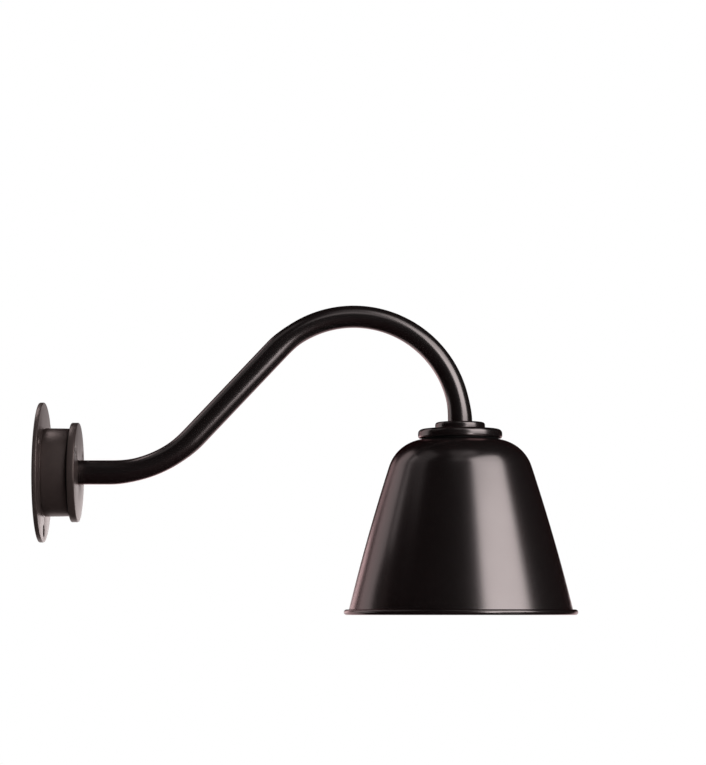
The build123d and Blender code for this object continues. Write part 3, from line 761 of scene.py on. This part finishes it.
# nodes whose CAD shape is right keep their mesh
keptNodes = {
    "satin": ["set_screw"],
    "matt": ["cover_screws"],
    "zincPlate": [
        "box_screws", "arm_locknut", "ground_terminal", "ground_screw", "hanger_nut", "housing_screws",
        "socket_bracket", "bracket_screws", "lampholder_screws", "terminal_screws",
    ],
    "linerPlastic": ["arm_bushing", "stem_bushing"],
    "cableJacket": ["arm_cable"],
    "blackCore": ["live_tail", "live_lead"],
    "whiteCore": ["neutral_tail", "neutral_lead"],
    "greenCore": ["ground_wire"],
    "orangeCap": ["wire_connectors"],
    "porcelainGlaze": ["lampholder_body"],
    "drawnBrass": ["screw_shell", "centre_contact"],
    "solderTip": ["bulb_tip"],
    "blackGlass": ["bulb_insulator"],
    "boardMask": ["led_board"],
    "phosphor": ["led_chips"],
    "pottedBoard": ["led_driver"],
}
for finish, nodeNames in keptNodes.items():
    for node in nodeNames:
        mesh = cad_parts[node].data
        mesh.materials.clear()
        mesh.materials.append(materials[finish])
print("kept nodes finished")


# camera at the photograph's angle: its place is in millimetres, its tilt upwards in degrees, and
# its reach in metres
camera = {
    "x": 341.2, "y": -2765.0, "z": -154.0, "tilt": 5.217, "lens": 119.5, "sensor": 36, "reach": 60,
}


def makeCamera():
    data = bpy.data.cameras.new("camera")
    data.lens = camera["lens"]
    data.sensor_width = camera["sensor"]
    data.clip_end = camera["reach"]
    eye = bpy.data.objects.new("camera", data)
    eye.location = Vector((camera["x"], camera["y"], camera["z"])) * millimetre
    eye.rotation_euler = (math.radians(90 + camera["tilt"]), 0, 0)
    bpy.context.scene.collection.objects.link(eye)
    bpy.context.scene.camera = eye


makeCamera()


# Lamps, floor and cards are in metres. A lamp stands round its aim: azimuth runs from the front
# towards the shade's far side, and elevation upwards. A grid, in degrees, keeps a panel's light
# inside that angle.
onHead, onMount, overMount = (0.44, 0, -0.05), (0, 0, -0.06), (-0.09, 0, 0)
overCrown, overArch = (0.38, 0, 0.30), (0.33, 0, 0.27)
lamps = {
    "keySoftbox": {
        "aim": onHead, "azimuth": 49.5, "elevation": 27.5, "distance": 3.0, "size": (2.65, 2.86),
        "watts": 72,
    },
    "keyCore": {
        "aim": onHead, "azimuth": 46, "elevation": 23, "distance": 2.9, "size": (2.40, 1.17), "watts": 14,
    },
    "keySkirt": {
        "aim": onHead, "azimuth": 27, "elevation": -5, "distance": 2.0, "size": (0.42, 0.49), "watts": 4,
    },
    "lowStrip": {
        "aim": onHead, "azimuth": 46, "elevation": -25, "distance": 1.3, "size": (0.56, 0.25),
        "watts": 0.95,
    },
    "lowLeft": {
        "aim": onHead, "azimuth": 29, "elevation": -18, "distance": 1.3, "size": (0.30, 0.27),
        "watts": 1.0,
    },
    "topPanel": {
        "aim": onHead, "azimuth": 8, "elevation": 66, "distance": 3.0, "size": (1.5, 1.3), "watts": 1.4,
    },
    "leftPanel": {
        "aim": onHead, "azimuth": -80, "elevation": 46, "distance": 3.0, "size": (1.36, 1.72),
        "watts": 1.7,
    },
    "crownPanel": {
        "aim": overCrown, "azimuth": 34, "elevation": 51, "distance": 0.45, "size": (0.25, 0.2),
        "watts": 0.02, "grid": 44,
    },
    "archPanel": {
        "aim": overArch, "azimuth": 0, "elevation": 36, "distance": 0.5, "size": (0.36, 0.34),
        "watts": 0.016, "grid": 40,
    },
    "mountTop": {
        "aim": overMount, "azimuth": 180, "elevation": 70, "distance": 0.42, "size": (0.13, 0.2),
        "watts": 0.045, "grid": 60,
    },
    "mountLow": {
        "aim": onMount, "azimuth": 171, "elevation": -2, "distance": 0.5, "size": (0.20, 0.19),
        "watts": 0.18,
    },
    "mountHigh": {
        "aim": onMount, "azimuth": 171, "elevation": 19, "distance": 0.5, "size": (0.20, 0.20),
        "watts": 0.09,
    },
}
noGrid = 180


def makeLamp(name, look):
    turn, rise = math.radians(look["azimuth"]), math.radians(look["elevation"])
    away = Vector((math.sin(turn) * math.cos(rise), -math.cos(turn) * math.cos(rise), math.sin(rise)))
    data = bpy.data.lights.new(name, "AREA")
    data.shape = "RECTANGLE"
    data.size, data.size_y = look["size"]
    data.energy = look["watts"]
    data.spread = math.radians(look.get("grid", noGrid))
    lamp = bpy.data.objects.new(name, data)
    lamp.location = Vector(look["aim"]) + away * look["distance"]
    lamp.rotation_euler = away.to_track_quat("Z", "Y").to_euler()
    lamp.visible_camera = False
    bpy.context.scene.collection.objects.link(lamp)


for name, look in lamps.items():
    makeLamp(name, look)
print("camera and lamps set")


def shownShare(nodes, links):
    # 1 for rays that show the background: the camera's, and those seen in gloss and through glass
    path = nodes.new("ShaderNodeLightPath")
    share = path.outputs["Is Camera Ray"]
    for kind in ("Is Glossy Ray", "Is Transmission Ray"):
        most = nodes.new("ShaderNodeMath")
        most.operation = "MAXIMUM"
        links.new(share, most.inputs[0])
        links.new(path.outputs[kind], most.inputs[1])
        share = most.outputs["Value"]
    return share


def mixShaders(nodes, links, share, first, second):
    mix = nodes.new("ShaderNodeMixShader")
    links.new(share, mix.inputs["Fac"])
    links.new(first, mix.inputs[1])
    links.new(second, mix.inputs[2])
    return mix.outputs["Shader"]


def addStage(bm, name, material, height=0):
    mesh = bpy.data.meshes.new(name)
    bm.to_mesh(mesh)
    bm.free()
    mesh.materials.append(material)
    prop = bpy.data.objects.new(name, mesh)
    prop.location = (0, 0, height)
    bpy.context.scene.collection.objects.link(prop)
    return prop


# floor: pale paper that keeps the object's shadow and turns to the background's white around it
paper = {
    "height": -0.75, "half": 16.0, "colour": (0.82, 0.82, 0.81), "roughness": 0.9, "shadowShare": 0.35,
    "fadeSpan": (0.8, 3.2),
}


def floorPaper():
    material, nodes, links, shader, place = startMaterial("floorPaper")
    shader.inputs["Base Color"].default_value = (*paper["colour"], 1)
    shader.inputs["Roughness"].default_value = paper["roughness"]
    glow = nodes.new("ShaderNodeEmission")
    clear = nodes.new("ShaderNodeBsdfTransparent")
    reach = nodes.new("ShaderNodeVectorMath")
    reach.operation = "LENGTH"
    links.new(place, reach.inputs[0])
    fade = addRange(nodes, links, reach.outputs["Value"], 1 - paper["shadowShare"], 1, paper["fadeSpan"])
    white = nodes.new("ShaderNodeMath")
    white.operation = "MULTIPLY"
    links.new(fade, white.inputs[0])
    links.new(shownShare(nodes, links), white.inputs[1])
    top = mixShaders(nodes, links, white.outputs["Value"], shader.outputs["BSDF"], glow.outputs["Emission"])
    # from underneath the floor is clear, so that the object shows
    side = nodes.new("ShaderNodeNewGeometry")
    both = mixShaders(nodes, links, side.outputs["Backfacing"], top, clear.outputs["BSDF"])
    links.new(both, nodes["Material Output"].inputs["Surface"])
    return material


def makeFloor():
    bm = bmesh.new()
    bmesh.ops.create_grid(bm, x_segments=2, y_segments=2, size=paper["half"])
    addStage(bm, "floor", floorPaper(), paper["height"])


makeFloor()


# dark cards round the set and under it, which only gloss sees, with gaps that show it the white;
# a gap runs from one azimuth to another
cards = {
    "middle": 0.44, "radius": 4.6, "steps": 120, "top": 4.3, "lift": 0.01, "gapTop": 0.15,
    "margin": 0.1, "colour": (0.035, 0.008, 0.010), "underRadius": 0.85, "underX": 0.34,
    "underLift": 0.02, "underSteps": 48, "sideGap": (-134, -97), "backGap": (-181, -134),
    "farGap": (147, 181), "floorGap": (-181, -122),
}


def gapsAt(height):
    if height < paper["height"] + cards["margin"]:
        return ["floorGap", "farGap"]
    if height < cards["gapTop"]:
        return ["sideGap", "backGap", "farGap"]
    if height < cards["top"] - cards["margin"]:
        return ["sideGap"]
    return []


def makeCards():
    bm = bmesh.new()
    height = cards["top"] - paper["height"]
    centre = Matrix.Translation((cards["middle"], 0, paper["height"] + height / 2 + cards["lift"]))
    bmesh.ops.create_cone(
        bm, cap_ends=True, cap_tris=True, segments=cards["steps"], radius1=cards["radius"],
        radius2=cards["radius"], depth=height, matrix=centre,
    )
    bmesh.ops.bisect_plane(
        bm, geom=bm.verts[:] + bm.edges[:] + bm.faces[:], plane_co=(0, 0, cards["gapTop"]),
        plane_no=(0, 0, 1),
    )
    opened = []
    for face in bm.faces:
        middle = face.calc_center_median()
        azimuth = math.degrees(math.atan2(middle.x - cards["middle"], -middle.y))
        if any(cards[gap][0] <= azimuth <= cards[gap][1] for gap in gapsAt(middle.z)):
            opened.append(face)
    bmesh.ops.delete(bm, geom=opened, context="FACES")
    under = Matrix.Translation((cards["underX"], 0, paper["height"] + cards["underLift"]))
    bmesh.ops.create_circle(
        bm, cap_ends=True, segments=cards["underSteps"], radius=cards["underRadius"], matrix=under
    )
    material, _, _, shader, _ = startMaterial("darkCard")
    shader.inputs["Base Color"].default_value = (*cards["colour"], 1)
    shader.inputs["Specular IOR Level"].default_value = 0
    prop = addStage(bm, "cards", material)
    for kind in ("camera", "diffuse", "transmission", "shadow"):
        setattr(prop, "visible_" + kind, False)


makeCards()


# world: white where it shows, and a low even light elsewhere
sky = {"white": (1, 1, 1, 1), "dim": 0.2}


def makeWorld():
    world = bpy.data.worlds.new("studio")
    bpy.context.scene.world = world
    world.use_nodes = True
    nodes, links = world.node_tree.nodes, world.node_tree.links
    dim = nodes["Background"]
    dim.inputs["Color"].default_value = sky["white"]
    dim.inputs["Strength"].default_value = sky["dim"]
    white = nodes.new("ShaderNodeBackground")
    white.inputs["Color"].default_value = sky["white"]
    shown = mixShaders(
        nodes, links, shownShare(nodes, links), dim.outputs["Background"], white.outputs["Background"]
    )
    links.new(shown, nodes["World Output"].inputs["Surface"])


makeWorld()
bpy.context.scene.view_settings.view_transform = "Standard"
print("studio made")
